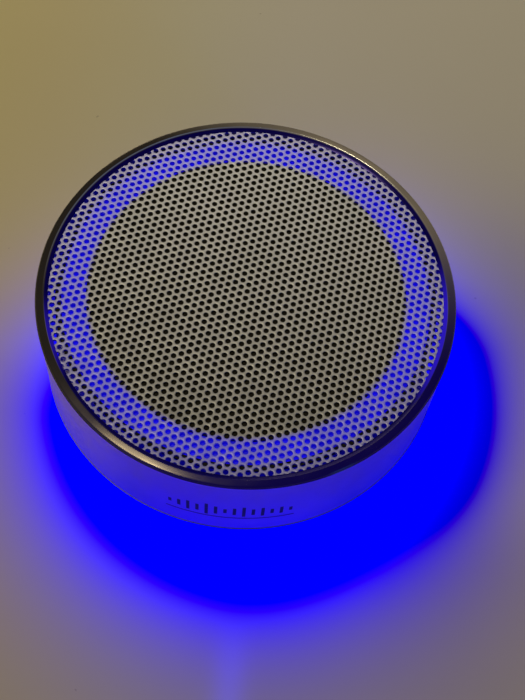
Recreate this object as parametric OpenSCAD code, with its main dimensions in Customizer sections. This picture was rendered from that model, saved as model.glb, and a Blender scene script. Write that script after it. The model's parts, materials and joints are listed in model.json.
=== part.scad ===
// Round wireless speaker: a metal sleeve with a perforated top, a light ring under
// the grille and a glowing base. The origin is at the centre of the foot's underside,
// +Z is up, the etched front faces -Y and the ports and buttons face +Y.

/* [Body] */
// Outside diameter of the sleeve and bezel
body_d = 80; // [79.6:0.2:82]
// Height from the table to the top of the bezel
body_h = 28; // [28:0.5:32]
// Height of the sleeve's lower edge above the table
sleeve_lift = 5.8; // [5.6:0.1:6]
// Thickness of the sleeve's wall
sleeve_wall = 1.4; // [1.2:0.1:1.4]
// Bright chamfer on the sleeve's lower edge
sleeve_chamfer = 0.4; // [0.2:0.1:0.6]

/* [Grille] */
// Distance between neighbouring holes
hole_pitch = 1.5; // [1.5:0.1:2]
// Diameter of a hole
hole_d = 1; // [0.8:0.05:1.1]
// Along each row, one hole in this many is cut
hole_step = 2; // [1:1:4]
// Thickness of the perforated sheet
grille_t = 0.5; // [0.4:0.1:0.5]
// Depth of the grille below the top of the bezel
grille_drop = 0.5; // [0.5:0.1:0.8]
// Direction of the rows of holes, in degrees from +X
grille_turn = 22; // [0:1:59]

/* [Light rings] */
// Inner radius of the ring that glows under the grille
glow_in = 30.6; // [30.6:0.05:30.8]
// Outer radius of the ring that glows under the grille
glow_out = 35.15; // [34.8:0.05:35.4]
// Number of light sources on each side of the light board
led_count = 12; // [6:2:12]

/* [Controls] */
// Angle between neighbouring buttons, seen from above
button_turn = 14; // [13.5:0.5:15]
// Travel of a button
button_travel = 0.3; // [0.2:0.05:0.3]
// Travel of the power switch
switch_travel = 2; // [1.5:0.1:2]
// Radius of the audio jack's bore
aux_bore_r = 1.8; // [1.75:0.01:1.85]

/* [Driver] */
// Travel of the cone each way
cone_travel = 0.8; // [0.3:0.1:0.8]
// Radius of the voice coil's former, inside
former_r = 6.5; // [6.4:0.05:6.6]

/* [Hidden] */
$fn = 96;
eps = 0.01;
fit = 0.1;

// Outer shell
body_r = body_d / 2;
sleeve_in = body_r - sleeve_wall;
bezel_seat = body_h - 0.6;
bezel_in = body_r - 1.8;
tongue_r = body_r - 0.9;
tongue_h = 1.5;
lip_in = body_r - 2.8;
lip_t = 0.8;

// Grille and what lies against it
grille_top = body_h - grille_drop;
grille_under = grille_top - grille_t;
grille_r = bezel_in - 0.05;
lace_r = grille_r - 0.75;
cloth_t = 0.2;

// Inner frame
frame_r = body_r - 9.5;
frame_in = frame_r - 1.5;
frame_top = grille_under - cloth_t;
driver_seat = frame_top - 3.4;
seat_in = 23.2;
flange_r = 26.4;

// Base
foot_t = 1.2;
cover_t = 1.2;
base_top = foot_t + cover_t;
cover_r = body_r - 3.8;
guide_r = body_r - 2.9;
boss_r = 26.45;

// Boards, seen from the base up
board_z = 7.8;
board_t = 1;
board_top = board_z + board_t;
board_r = frame_in - 0.4;
bulkhead_z = 10;
bulkhead_t = 1;
light_z = 14.4;
light_t = 1;
light_top = light_z + light_t;
skirt_in = glow_out - 0.75;
skirt_out = glow_out + 0.85;
glow_top = grille_under - 0.4;
glow_t = 1;

// Port bay at the rear
bay_half = 17.2;
bay_y = 24;
tongue_half = 16;
port_face = body_r - 3.6;
port_back = port_face - 1.4;
pocket_low = 8.3;
pocket_high = 15;
panel_r = body_r - 0.3;
panel_in = body_r - 2.5;
window_half = 19.5;
window_low = 7.9;
window_high = 23.9;
lip_half = 21.5;

// Ports and switches
usb_x = -9;
usb_size = [7.6, 6.4, 2.6];
aux_size = [6, 10.7, 5];
aux_z = board_top + aux_size.z / 2;
aux_depth = 11;
switch_x = 9;
switch_z = board_top + 1.9;
lever_w = 1.5;
button_z = 19.5;
button_size = [6.4, 4.2];
flex_in = frame_r + 1.5;
flex_r = flex_in + 0.4;
flex_low = light_top + 0.2;
flex_high = 24.4;
flex_half = 24;
plunger_r = flex_r + 2.1;

key_lead_foot = 32.1 * [cos(118), sin(118)];

// Driver, from the flange down
flange_t = 0.8;
basket_z = driver_seat - 6.6;
basket_r = 16;
plate_t = 1.2;
magnet_h = 3;
plate_z = basket_z - plate_t;
magnet_z = plate_z - magnet_h;
yoke_z = magnet_z - plate_t;
plate_r = 12.2;
magnet_r = 12.5;
pole_r = former_r - 0.3;
former_t = 0.2;
winding_t = 0.5;
gap_r = former_r + former_t + winding_t + 0.4;
shelf_z = basket_z + 2.2;
surround_z = driver_seat + flange_t;
cone_rim_z = surround_z - 1.5;
cone_neck_z = cone_rim_z - 2.1;

// A ring between two radii and two heights
module ring(outer, inner, low, high) {
    translate([0, 0, low])
        difference() {
            cylinder(r = outer, h = high - low);
            translate([0, 0, -1])
                cylinder(r = inner, h = high - low + 2);
        }
}

// A box from its lowest to its highest corner
module block(low, high) {
    translate(low)
        cube(high - low);
}

// A rectangle with round corners
module soft_rectangle(size, r) {
    square([size.x - 2 * r, size.y], center = true);
    square([size.x, size.y - 2 * r], center = true);
    for (x = [-1, 1], y = [-1, 1])
        translate([x * (size.x / 2 - r), y * (size.y / 2 - r)])
            circle(r = r, $fn = 32);
}

// A shape drawn on the XZ plane and cut along Y between two distances
module along_y(x, z, from, to) {
    translate([x, to, z])
        rotate([90, 0, 0])
            linear_extrude(height = to - from)
                children();
}

// Points of an arc about a centre
function arc(c, r, a0, a1, n) =
    [for (i = [0:n]) let (a = a0 + (a1 - a0) * i / n) c + r * [cos(a), sin(a)]];

// The sideways direction of a path at one of its points
function side(path, i) =
    let (a = path[max(i - 1, 0)], b = path[min(i + 1, len(path) - 1)], d = (b - a) / norm(b - a))
    [-d.y, d.x];

// A path of points on the profile plane, thickened by t and kept off the axis
function ribbon(path, t) = [
    for (i = [0:len(path) - 1])
        let (p = path[i] + side(path, i) * t / 2) [max(p.x, 0), p.y],
    for (i = [len(path) - 1:-1:0])
        let (p = path[i] - side(path, i) * t / 2) [max(p.x, 0), p.y]
];

// A wire of radius r through points, as one closed tube
module wire(points, r, sides = 8) {
    last = len(points) - 1;
    rings = [
        for (i = [0:last])
            let (
                d = points[min(i + 1, last)] - points[max(i - 1, 0)],
                w = d / norm(d),
                u0 = cross(w, abs(w.x) < 0.8 ? [1, 0, 0] : [0, 1, 0]),
                u = u0 / norm(u0),
                v = cross(w, u)
            )
            for (k = [0:sides - 1])
                points[i] + r * (cos(360 * k / sides) * u + sin(360 * k / sides) * v)
    ];
    walls = [
        for (i = [0:last - 1], k = [0:sides - 1])
            let (a = i * sides + k, b = i * sides + (k + 1) % sides)
            each [[a, a + sides, b], [b, a + sides, b + sides]]
    ];
    start = [for (k = [0:sides - 1]) k];
    end = [for (k = [sides - 1:-1:0]) last * sides + k];
    polyhedron(points = rings, faces = concat([start], walls, [end]));
}

// A smooth curve through hand-placed points
function smooth(p, steps = 3) = [
    for (i = [0:len(p) - 2], s = [0:steps - 1])
        let (
            a = p[max(i - 1, 0)], b = p[i], c = p[i + 1], d = p[min(i + 2, len(p) - 1)],
            t = s / steps
        )
        0.5 * ((2 * b) + (c - a) * t + (2 * a - 5 * b + 4 * c - d) * t * t
            + (3 * b - a - 3 * c + d) * t * t * t),
    p[len(p) - 1]
];

module housing_sleeve() {
    color("silver")
        difference() {
            rotate_extrude()
                polygon([
                    [lip_in, sleeve_lift],
                    [body_r - sleeve_chamfer, sleeve_lift],
                    [body_r, sleeve_lift + sleeve_chamfer],
                    [body_r, bezel_seat],
                    [tongue_r + 0.05, bezel_seat],
                    [tongue_r + 0.05, bezel_seat - tongue_h - 0.05],
                    [sleeve_in, bezel_seat - tongue_h - 0.05],
                    [sleeve_in, sleeve_lift + lip_t],
                    [lip_in, sleeve_lift + lip_t]
                ]);
            along_y(0, (window_low + window_high) / 2, 20, body_r + 5)
                soft_rectangle([2 * window_half, window_high - window_low], 3);
        }
}

// The polished ring: a rounded outer edge, a slightly crowned top and a bevel to the grille
module top_bezel() {
    edge = 0.45;
    color("lightgray")
        rotate_extrude()
            polygon(concat(
                [[body_r, bezel_seat]],
                arc([body_r - edge, body_h - 0.1 - edge], edge, 0, 84, 6),
                arc([body_r - 1.75, body_h - 0.25], 0.25, 84, 128, 3),
                [
                    [body_r - 2.35, grille_top],
                    [bezel_in, grille_top],
                    [bezel_in, bezel_seat - tongue_h],
                    [tongue_r, bezel_seat - tongue_h],
                    [tongue_r, bezel_seat]
                ]
            ));
}

module grille() {
    pitch = hole_pitch * hole_step;
    reach = ceil(lace_r / pitch / sin(60));
    color("gainsboro")
        translate([0, 0, grille_under])
            linear_extrude(height = grille_t)
                difference() {
                    circle(r = grille_r);
                    rotate(grille_turn)
                        for (i = [-reach:reach], j = [-reach:reach])
                            let (at = pitch * [i + j / 2, j * sin(60)])
                                if (norm(at) < lace_r)
                                    translate(at)
                                        circle(d = hole_d, $fn = 16);
                }
}

module acoustic_cloth() {
    color("black")
        translate([0, 0, frame_top])
            cylinder(r = frame_r, h = cloth_t);
}

module top_light_guide() {
    color("aliceblue")
        difference() {
            rotate_extrude()
                polygon([
                    [glow_in, glow_top - glow_t], [skirt_in, glow_top - glow_t],
                    [skirt_in, light_top], [skirt_out, light_top],
                    [skirt_out, glow_top - 0.2], [glow_out, glow_top - 0.2],
                    [glow_out, glow_top], [glow_in, glow_top]
                ]);
            block([-window_half, 25, light_top - 1], [window_half, 40, glow_top - glow_t]);
        }
}

module guide_retainer() {
    color("black")
        ring(glow_out + 1.15, glow_out + 0.05, glow_top - 0.2, grille_under);
}

module light_board() {
    color("white")
        difference() {
            ring(body_r - 2.8, frame_r + 0.7, light_z, light_top);
            block([-40, port_back - 0.4, 0], [40, 50, 30]);
            translate([key_lead_foot.x, key_lead_foot.y, 0])
                cylinder(r = 1.1, h = 30, $fn = 32);
        }
}

// Light sources on both sides of the light board, except behind the buttons
module ring_leds() {
    size = [2.8, 3.5, 0.9];
    color("lemonchiffon")
        for (i = [0:led_count - 1])
            let (a = 360 * (i + 0.5) / led_count)
                if (sin(a) < 0.8)
                    rotate(a) {
                        translate([frame_r + 2.4, 0, light_top])
                            led_package(size);
                        translate([frame_r + 3.1, 0, light_z])
                            mirror([0, 0, 1])
                                led_package(size);
                    }
}

module led_package(size) {
    difference() {
        translate([-size.x / 2, -size.y / 2, 0])
            cube(size);
        translate([0, 0, size.z - 0.25])
            cylinder(r1 = 0.9, r2 = 1.15, h = 0.3, $fn = 24);
    }
}

module base_light_guide() {
    flange_z = sleeve_lift + lip_t;
    color("aliceblue")
        rotate_extrude()
            polygon([
                [frame_r + 0.15, base_top],
                [guide_r - 0.5, base_top],
                [guide_r, base_top + 0.5],
                [guide_r, flange_z],
                [sleeve_in - fit, flange_z],
                [sleeve_in - fit, flange_z + 0.9],
                [guide_r - 1.7, flange_z + 0.9],
                [guide_r - 1.7, base_top + 1.2],
                [frame_r + 0.15, base_top + 1.2]
            ]);
}

function boss_places() = [for (a = [45:90:315]) boss_r * [cos(a), sin(a)]];
function board_screw_places() = [[-12, 18.5], [12, 18.5], [-22.5, 0], [22.5, 0]];
function driver_screw_places() = [for (a = [45:90:315]) 24.95 * [cos(a), sin(a)]];

// The black frame inside: one wall, a bulkhead above the board and a hood over the ports
module inner_frame() {
    color("dimgray")
        difference() {
            union() {
                rotate_extrude()
                    polygon([
                        [frame_in, base_top], [frame_r, base_top],
                        [frame_r, light_z - 1], [frame_r + 1.4, light_z - 1],
                        [frame_r + 1.4, light_z], [frame_r, light_z],
                        [frame_r, frame_top], [flange_r + fit, frame_top],
                        [flange_r + fit, driver_seat], [seat_in, driver_seat],
                        [seat_in, driver_seat - 1], [frame_in, driver_seat - 1],
                        [frame_in, bulkhead_z + bulkhead_t], [0, bulkhead_z + bulkhead_t],
                        [0, bulkhead_z], [frame_in, bulkhead_z]
                    ]);
                at_each(boss_places(), base_top)
                    cylinder(r = 2.6, h = bulkhead_z - base_top + 0.5);
                at_each(board_screw_places(), board_top)
                    cylinder(r = 2.2, h = bulkhead_z - board_top + 0.5);
                at_each(driver_screw_places(), driver_seat - 3)
                    cylinder(r = 1.7, h = 2.5);
                intersection() {
                    block([-bay_half - 1, bay_y - 1, bulkhead_z], [bay_half + 1, 40, light_top]);
                    cylinder(r = frame_r, h = 30);
                }
                sector(flex_in, frame_r - 0.5, flex_low, flex_high, flex_half);
            }
            block([-bay_half, bay_y, board_z - 0.4], [bay_half, 45, light_z]);
            at_each(boss_places(), base_top - 1)
                cylinder(r = 1.15, h = 6.8, $fn = 32);
            at_each(board_screw_places(), board_top - 1)
                cylinder(r = 0.95, h = 2, $fn = 32);
            at_each(driver_screw_places(), driver_seat - 2.9)
                cylinder(r = 0.95, h = 4, $fn = 32);
            translate([0, -20, bulkhead_z - 1])
                cylinder(r = 2.2, h = 4, $fn = 32);
        }
}

module at_each(places, z) {
    for (p = places)
        translate([p.x, p.y, z])
            children();
}

// Part of a ring, centred on the rear
module sector(outer, inner, low, high, half) {
    difference() {
        ring(outer, inner, low, high);
        for (s = [0, 1])
            mirror([s, 0, 0])
                translate([0, 0, low - 1])
                    rotate(90 - half)
                        translate([-80, -80, 0])
                            cube([160, 80, high - low + 2]);
    }
}

module bottom_cover() {
    color("dimgray")
        difference() {
            translate([0, 0, foot_t])
                cylinder(r = cover_r, h = cover_t);
            at_each(boss_places(), foot_t - 1) {
                cylinder(r = 1.3, h = 5, $fn = 32);
                cylinder(r = 2.1, h = 1.8, $fn = 32);
            }
        }
}

module rubber_foot() {
    color("darkslategray")
        rotate_extrude()
            polygon([
                [23.9, 0], [28.9, 0], [29.4, 0.4], [29.4, foot_t], [23.4, foot_t], [23.4, 0.4]
            ]);
}

// A pan-head screw whose head rests on z = 0 and whose shank points up
module screw(head_r, head_h, r, length) {
    difference() {
        translate([0, 0, -head_h])
            cylinder(r = head_r, h = head_h, $fn = 32);
        for (a = [0, 90])
            rotate(a)
                translate([-head_r * 0.6, -0.2, -head_h - 1])
                    cube([head_r * 1.2, 0.4, 1 + head_h * 0.5]);
    }
    cylinder(r = r, h = length, $fn = 32);
}

module cover_screws() {
    color("darkgray")
        at_each(boss_places(), foot_t + 0.8)
            screw(1.9, 0.7, 1.1, 6);
}

module board_screws() {
    color("darkgray")
        at_each(board_screw_places(), board_z)
            screw(1.7, 0.5, 0.9, 1.9);
}

module driver_screws() {
    color("darkgray")
        at_each(driver_screw_places(), surround_z)
            mirror([0, 0, 1])
                screw(1.35, 0.8, 0.9, 3.5);
}

// The pressed basket with its flange, its windows and the shelf for the spider
module driver_basket() {
    rim_in = 22.3;
    color("slategray")
        difference() {
            rotate_extrude()
                polygon([
                    [gap_r + 0.3, basket_z], [basket_r, basket_z],
                    [22.9, driver_seat - 2.5], [22.9, driver_seat],
                    [flange_r, driver_seat], [flange_r, surround_z],
                    [rim_in, surround_z], [rim_in, driver_seat - 1.6],
                    [13.2, shelf_z], [11.8, shelf_z],
                    [11.8, basket_z + 0.8], [gap_r + 0.3, basket_z + 0.8]
                ]);
            at_each(driver_screw_places(), driver_seat - 1)
                cylinder(r = 1.05, h = 3, $fn = 32);
            for (a = [0:60:300])
                rotate(a)
                    block([17, -4, basket_z - 1], [21.3, 4, driver_seat - 1.3]);
        }
}

module driver_gasket() {
    color("darkslategray")
        ring(23.5, 22.9, surround_z + 0.25, frame_top - 0.8);
}

module driver_terminals() {
    color("peru") {
        block([-3.5, -18, basket_z - 1], [3.5, -13.2, basket_z]);
        for (s = [-1, 1])
            block([2 * s - 0.6, -17.6, basket_z - 1.9], [2 * s + 0.6, -17, basket_z - 0.9]);
    }
}

module magnet() {
    color("gray")
        ring(magnet_r, gap_r + 1, magnet_z, plate_z);
}

module magnet_top_plate() {
    color("silver")
        ring(plate_r, gap_r, plate_z, basket_z);
}

module magnet_yoke() {
    color("silver")
        rotate_extrude()
            polygon([
                [0, yoke_z], [plate_r - 0.4, yoke_z], [plate_r, yoke_z + 0.4],
                [plate_r, magnet_z], [pole_r, magnet_z], [pole_r, basket_z],
                [0, basket_z]
            ]);
}

// A flexible corrugated disc that centres the voice coil
module spider() {
    inner = former_r + former_t;
    outer = 13;
    low = shelf_z - 0.8;
    path = concat(
        [[inner + 0.1, low], [inner + 0.5, low]],
        [
            for (i = [0:32])
                let (t = i / 32)
                    [
                        inner + 0.5 + (11.8 - inner - 0.5) * t,
                        low + (shelf_z + 0.1 - low) * t + 0.22 * sin(360 * 2.5 * t) * sin(180 * t)
                    ]
        ],
        [[outer, shelf_z + 0.1]]
    );
    color("goldenrod")
        rotate_extrude()
            polygon(ribbon(path, 0.18));
}

module coil_former() {
    color("peru")
        ring(former_r + former_t, former_r, plate_z - 0.9, cone_neck_z + 0.3);
}

module coil_winding() {
    color("chocolate")
        ring(former_r + former_t + winding_t, former_r + former_t, plate_z - 0.5, basket_z + 0.5);
}

module cone() {
    neck = former_r + former_t;
    path = concat(
        [[neck + 0.17, cone_neck_z - 0.4], [neck + 0.3, cone_neck_z]],
        [
            for (i = [1:12])
                let (t = i / 12)
                    [
                        neck + 0.3 + (19 - neck) * t,
                        cone_neck_z + (cone_rim_z - 0.15 - cone_neck_z) * pow(t, 0.8)
                    ]
        ],
        [[20.1, cone_rim_z - 0.15]]
    );
    color("darkslategray")
        rotate_extrude()
            polygon(ribbon(path, 0.3));
}

module dust_cap() {
    path = [
        for (i = [0:12])
            let (a = 90 - 48 * i / 12)
                [11.2 * cos(a), cone_neck_z + 0.6 + 11.2 * (sin(a) - sin(42))]
    ];
    color("dimgray")
        rotate_extrude()
            polygon(ribbon(path, 0.25));
}

module surround() {
    inner = 20.1;
    outer = 22.6;
    z0 = cone_rim_z + 0.125;
    z1 = surround_z + 0.125;
    path = [
        [19.3, z0], [inner - 0.1, z0],
        [inner + 0.15, z0 + 0.5], [inner + 0.35, z1],
        [inner + 0.6, z1 + 0.55], [(inner + outer) / 2, z1 + 0.75],
        [outer - 0.4, z1 + 0.55], [outer - 0.05, z1 + 0.15],
        [outer + 0.2, z1], [23.3, z1]
    ];
    color("black")
        rotate_extrude()
            polygon(ribbon(path, 0.25));
}

module main_board() {
    color("darkgreen")
        difference() {
            translate([0, 0, board_z])
                linear_extrude(height = board_t)
                    union() {
                        circle(r = board_r);
                        intersection() {
                            translate([-tongue_half, 0])
                                square([2 * tongue_half, port_back - 0.1]);
                            circle(r = panel_in - 0.2);
                        }
                    }
            at_each(boss_places(), board_z - 1)
                cylinder(r = 2.9, h = 3);
            at_each(board_screw_places(), board_z - 1)
                cylinder(r = 1.05, h = 3, $fn = 32);
        }
}

module bluetooth_chip() {
    color("dimgray") {
        block([-13, -12, board_top], [-6, -3, board_top + 0.3]);
        block([-12.6, -11.6, board_top + 0.2], [-6.4, -5, board_top + 1]);
    }
}

module amplifier_chip() {
    color("black") {
        block([7, -11, board_top + 0.1], [12, -6, board_top + 0.9]);
        for (i = [0:3], s = [0, 1])
            block([7.4 + 1.2 * i, -11.6 + 5.4 * s, board_top],
                  [7.9 + 1.2 * i, -10.8 + 5.4 * s, board_top + 0.4]);
    }
}

// Coils, capacitors and resistors on the board
module board_parts() {
    color("tan") {
        for (x = [15, 19.2], y = [-10, -5.8])
            block([x, y, board_top], [x + 3.4, y + 3.4, board_top + 1.05]);
        for (i = [0:5])
            block([-2 + 2.2 * (i % 3), -9 + 2.4 * floor(i / 3), board_top],
                  [-1 + 2.2 * (i % 3), -7.4 + 2.4 * floor(i / 3), board_top + 0.5]);
        for (i = [0:4])
            block([-16 + 2.4 * i, 5, board_top], [-14.8 + 2.4 * i, 7, board_top + 0.7]);
        for (i = [0:3])
            block([4 + 2.6 * i, 8, board_top], [5.4 + 2.6 * i, 10.4, board_top + 0.9]);
        block([-3, 0, board_top], [0.2, 2.4, board_top + 0.8]);
    }
}

module usb_socket() {
    half = usb_size.x / 2;
    front = port_back - 0.1;
    wall = 0.3;
    top = board_top + usb_size.z;
    color("silver") {
        difference() {
            block([usb_x - half, front - usb_size.y, board_top], [usb_x + half, front, top]);
            block([usb_x - half + wall, front - usb_size.y + 1, board_top + wall],
                  [usb_x + half - wall, front + 1, top - wall]);
        }
        block([usb_x - 2, front - usb_size.y + 0.5, top - wall - 0.95],
              [usb_x + 2, front - 1, top - wall - 0.35]);
    }
}

module aux_jack() {
    front = port_back - 0.1;
    half = aux_size.x / 2;
    color("dimgray")
        difference() {
            union() {
                block([-half, front - aux_size.y, board_top],
                      [half, front, board_top + aux_size.z]);
                along_y(0, aux_z, front - 1, port_face)
                    circle(r = 2.4, $fn = 48);
            }
            along_y(0, aux_z, port_face - aux_depth, port_face + 1)
                circle(r = aux_bore_r, $fn = 48);
        }
}

module power_switch() {
    front = port_back - 0.1;
    color("silver")
        difference() {
            block([switch_x - 4.5, front - 4.4, board_top], [switch_x + 4.5, front, board_top + 3.8]);
            block([switch_x - 3.1, front - 3.7, switch_z - 1.1],
                  [switch_x + 3.1, front - 0.7, switch_z + 1.1]);
            block([switch_x - 2, front - 1, switch_z - 0.8],
                  [switch_x + 2, front + 1, switch_z + 0.8]);
        }
}

module switch_knob() {
    front = port_back - 0.1;
    x = switch_x - switch_travel / 2;
    color("black") {
        block([x - 1.8, front - 3.6, switch_z - 1], [x + 1.8, front - 0.8, switch_z + 1]);
        block([x - lever_w / 2, front - 1, switch_z - 0.7],
              [x + lever_w / 2, port_face + 1.4, switch_z + 0.7]);
    }
}

// The curved black panel that fills the rear window, with a flat pocket for the ports
module port_panel() {
    color("black")
        difference() {
            union() {
                intersection() {
                    ring(panel_r, panel_in, window_low, window_high);
                    along_y(0, (window_low + window_high) / 2, 20, body_r + 5)
                        soft_rectangle(
                            [2 * (window_half - fit), window_high - window_low - 2 * fit], 2.9);
                }
                intersection() {
                    ring(sleeve_in - fit, panel_in, window_low - 0.2, window_high + 1);
                    block([-lip_half, 20, 0], [lip_half, 50, 30]);
                }
                intersection() {
                    cylinder(r = panel_in + 0.5, h = 30);
                    block([-16, port_back, window_low - 0.1], [16, 38, pocket_high + 0.8]);
                }
            }
            block([-25, port_face, pocket_low], [25, 45, pocket_high]);
            block([usb_x - usb_size.x / 2 - 0.2, 20, board_top - 0.1],
                  [usb_x + usb_size.x / 2 + 0.2, 50, board_top + usb_size.z + 0.2]);
            along_y(0, aux_z, 20, 50)
                circle(r = 2.5, $fn = 48);
            block([switch_x - 2.1, 20, switch_z - 0.9], [switch_x + 2.1, 50, switch_z + 0.9]);
            for (a = [-1:1])
                rotate(a * button_turn)
                    along_y(0, button_z, 20, 50)
                        soft_rectangle(button_size + [0.3, 0.3], 1.1);
            rotate(button_turn / 2)
                along_y(0, button_z, 20, 50)
                    circle(r = 0.75, $fn = 32);
            rotate(-button_turn / 2)
                along_y(0, button_z, 20, 50)
                    circle(r = 0.45, $fn = 32);
        }
}

// The thin board behind the buttons
module key_board() {
    color("sienna")
        sector(flex_r, flex_in, flex_low, flex_high, flex_half);
}

module key_switches() {
    color("gainsboro")
        for (a = [-1:1])
            rotate(a * button_turn) {
                block([-2, flex_r, button_z - 2], [2, flex_r + 1.5, button_z + 2]);
                along_y(0, button_z, flex_r + 1.4, plunger_r)
                    circle(r = 1, $fn = 32);
            }
}

module button(turn) {
    inner = panel_in - 0.9;
    color("dimgray")
        rotate(turn) {
            intersection() {
                along_y(0, button_z, inner, body_r)
                    soft_rectangle(button_size, 1);
                cylinder(r = panel_r - 0.05, h = 40);
            }
            along_y(0, button_z, inner, inner + 0.6)
                soft_rectangle(button_size + [1, 1.2], 1.2);
            along_y(0, button_z, plunger_r + button_travel + 0.05, inner + 0.1)
                circle(r = 1, $fn = 32);
        }
}

module button_previous() {
    button(-button_turn);
}

module button_play() {
    button(0);
}

module button_next() {
    button(button_turn);
}

module microphone() {
    color("gold")
        rotate(-button_turn / 2)
            difference() {
                block([-1.2, flex_r, button_z - 1.6], [1.2, flex_r + 1, button_z + 1.6]);
                along_y(0, button_z, flex_r + 0.5, flex_r + 3)
                    circle(r = 0.4, $fn = 24);
            }
}

module status_led() {
    color("white")
        rotate(button_turn / 2)
            block([-0.8, flex_r, button_z - 0.5], [0.8, flex_r + 0.6, button_z + 0.5]);
}

module status_light_pipe() {
    color("aliceblue")
        rotate(button_turn / 2) {
            along_y(0, button_z, flex_r + 0.8, panel_r)
                circle(r = 0.65, $fn = 32);
            along_y(0, button_z, panel_in - 0.9, panel_in - 0.1)
                circle(r = 0.7, $fn = 32);
        }
}

module battery() {
    color("lightsteelblue")
        translate([0, 0, base_top + 0.4])
            linear_extrude(height = 4.4)
                soft_rectangle([38, 30], 2);
}

module battery_board() {
    z = base_top + 0.8;
    color("darkgreen")
        block([19, -9, z], [19.8, 9, z + 3.2]);
}

module battery_pad() {
    color("white")
        block([-17, -13, base_top], [17, 13, base_top + 0.4]);
}

module battery_leads() {
    color("red")
        for (i = [0, 1])
            let (y = 5 + 1.4 * i)
                wire(smooth([
                    [20.2, y, 4.2], [21.4, y, 4.4], [22.6, y + 0.3, 5.6], [23.2, y + 0.5, 7.7]
                ]), 0.35);
}

module speaker_leads() {
    color("black")
        for (s = [-1, 1])
            wire(smooth([
                [2 * s, -18, basket_z - 1.5], [1.8 * s, -19, basket_z - 2.2],
                [1 * s, -20, bulkhead_z + 3], [0.9 * s, -20, bulkhead_z], [0.9 * s, -20, board_top + 0.02]
            ]), 0.35);
}

module led_leads() {
    x = -key_lead_foot.x;
    y = key_lead_foot.y;
    color("white")
        for (s = [-1, 1])
            wire(smooth([
                [x + 0.5 * s, y, board_top + 0.02], [x + 0.5 * s, y, board_top + 2],
                [x + 0.4 * s, y - 0.4, board_top + 3.5], [x + 0.5 * s, y, light_z - 0.02]
            ]), 0.35);
}

module key_leads() {
    x = key_lead_foot.x;
    y = key_lead_foot.y;
    color("white")
        for (s = [-1, 1])
            wire(smooth([
                [x + 0.4 * s, y, board_top + 0.02], [x + 0.4 * s, y, board_top + 3],
                [x + 0.4 * s, y, light_top + 1], [x + 1 + 0.4 * s, y + 0.9, light_top + 2.5 + 0.7 * s],
                [-12.9, 30.22, light_top + 3.3 + 0.8 * s]
            ]), 0.3);
}

housing_sleeve();
top_bezel();
grille();
acoustic_cloth();
top_light_guide();
guide_retainer();
light_board();
ring_leds();
base_light_guide();
inner_frame();
bottom_cover();
rubber_foot();
cover_screws();
board_screws();
driver_screws();
driver_basket();
driver_gasket();
driver_terminals();
magnet();
magnet_top_plate();
magnet_yoke();
spider();
coil_former();
coil_winding();
cone();
dust_cap();
surround();
main_board();
bluetooth_chip();
amplifier_chip();
board_parts();
usb_socket();
aux_jack();
power_switch();
switch_knob();
port_panel();
key_board();
key_switches();
button_previous();
button_play();
button_next();
microphone();
status_led();
status_light_pipe();
battery();
battery_board();
battery_pad();
battery_leads();
speaker_leads();
led_leads();
key_leads();
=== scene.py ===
"""Looks of the round wireless speaker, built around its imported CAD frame."""
import json
import math

import bmesh
import bpy
import numpy as np
from mathutils import Matrix, Vector


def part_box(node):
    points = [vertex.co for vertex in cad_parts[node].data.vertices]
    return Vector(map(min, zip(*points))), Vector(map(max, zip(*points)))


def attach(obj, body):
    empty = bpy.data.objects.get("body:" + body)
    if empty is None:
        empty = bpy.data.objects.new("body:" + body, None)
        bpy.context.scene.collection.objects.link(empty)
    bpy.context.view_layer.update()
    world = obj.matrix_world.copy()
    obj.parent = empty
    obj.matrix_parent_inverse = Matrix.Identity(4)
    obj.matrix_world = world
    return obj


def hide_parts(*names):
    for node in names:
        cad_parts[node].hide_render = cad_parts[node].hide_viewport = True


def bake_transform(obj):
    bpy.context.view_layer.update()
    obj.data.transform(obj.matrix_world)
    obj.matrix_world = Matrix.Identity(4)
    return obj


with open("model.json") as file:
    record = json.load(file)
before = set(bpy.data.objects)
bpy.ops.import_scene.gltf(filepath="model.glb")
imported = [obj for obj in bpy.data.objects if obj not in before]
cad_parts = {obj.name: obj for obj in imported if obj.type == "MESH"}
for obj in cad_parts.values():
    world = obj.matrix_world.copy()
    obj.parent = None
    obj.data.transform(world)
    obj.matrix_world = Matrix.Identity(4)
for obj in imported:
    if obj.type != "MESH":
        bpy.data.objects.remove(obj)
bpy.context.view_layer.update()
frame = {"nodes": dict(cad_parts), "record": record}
NODES = frame["nodes"]
SLOT = {p["node"]: p["material_slot"] for p in frame["record"]["subparts"]}
MM = 0.001


def high(node):
    """The far corner of a CAD node's box, in metres."""
    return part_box(node)[1]


def low(node):
    """The near corner of a CAD node's box, in metres."""
    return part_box(node)[0]


BODY_R = high("housing_sleeve").x
BODY_TOP = high("top_bezel").z
WALL_TOP = high("housing_sleeve").z
WALL_LOW = low("housing_sleeve").z
GRILLE_TOP = high("grille").z
GRILLE_LOW = low("grille").z
GRILLE_R = high("grille").x

# The sheet's holes, in mm, and how far their rows are turned from +X
HOLE_PITCH = 1.5
HOLE_R = 0.5
ROWS_TURN = math.radians(22)
# Sides of each hole's outline
HOLE_SIDES = 24
# The lit ring's inner and outer radius, in mm
RING_IN, RING_OUT = 30.6, 35.15
# Radius of the painted highlight line between the rim's crown and its bevel, in metres
HIGHLIGHT_LINE_IN, HIGHLIGHT_LINE_OUT = 0.03832, 0.03864
# The rear buttons: height of the signs, the printed face's radius (mm) and the turn between buttons
SIGN_Z = 19.5
SIGN_UNDER, SIGN_FACE = 39.655, 39.68
BUTTON_TURN = 14


# ---------------------------------------------------------------- camera

# The camera looks down on the front of the top, from 225 mm above the table.
EYE = Vector((0, -114.6, 225.1)) * MM
AIM = Vector((3.68, -12.26, 27.5)) * MM
ROLL = math.radians(6.39)


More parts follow.
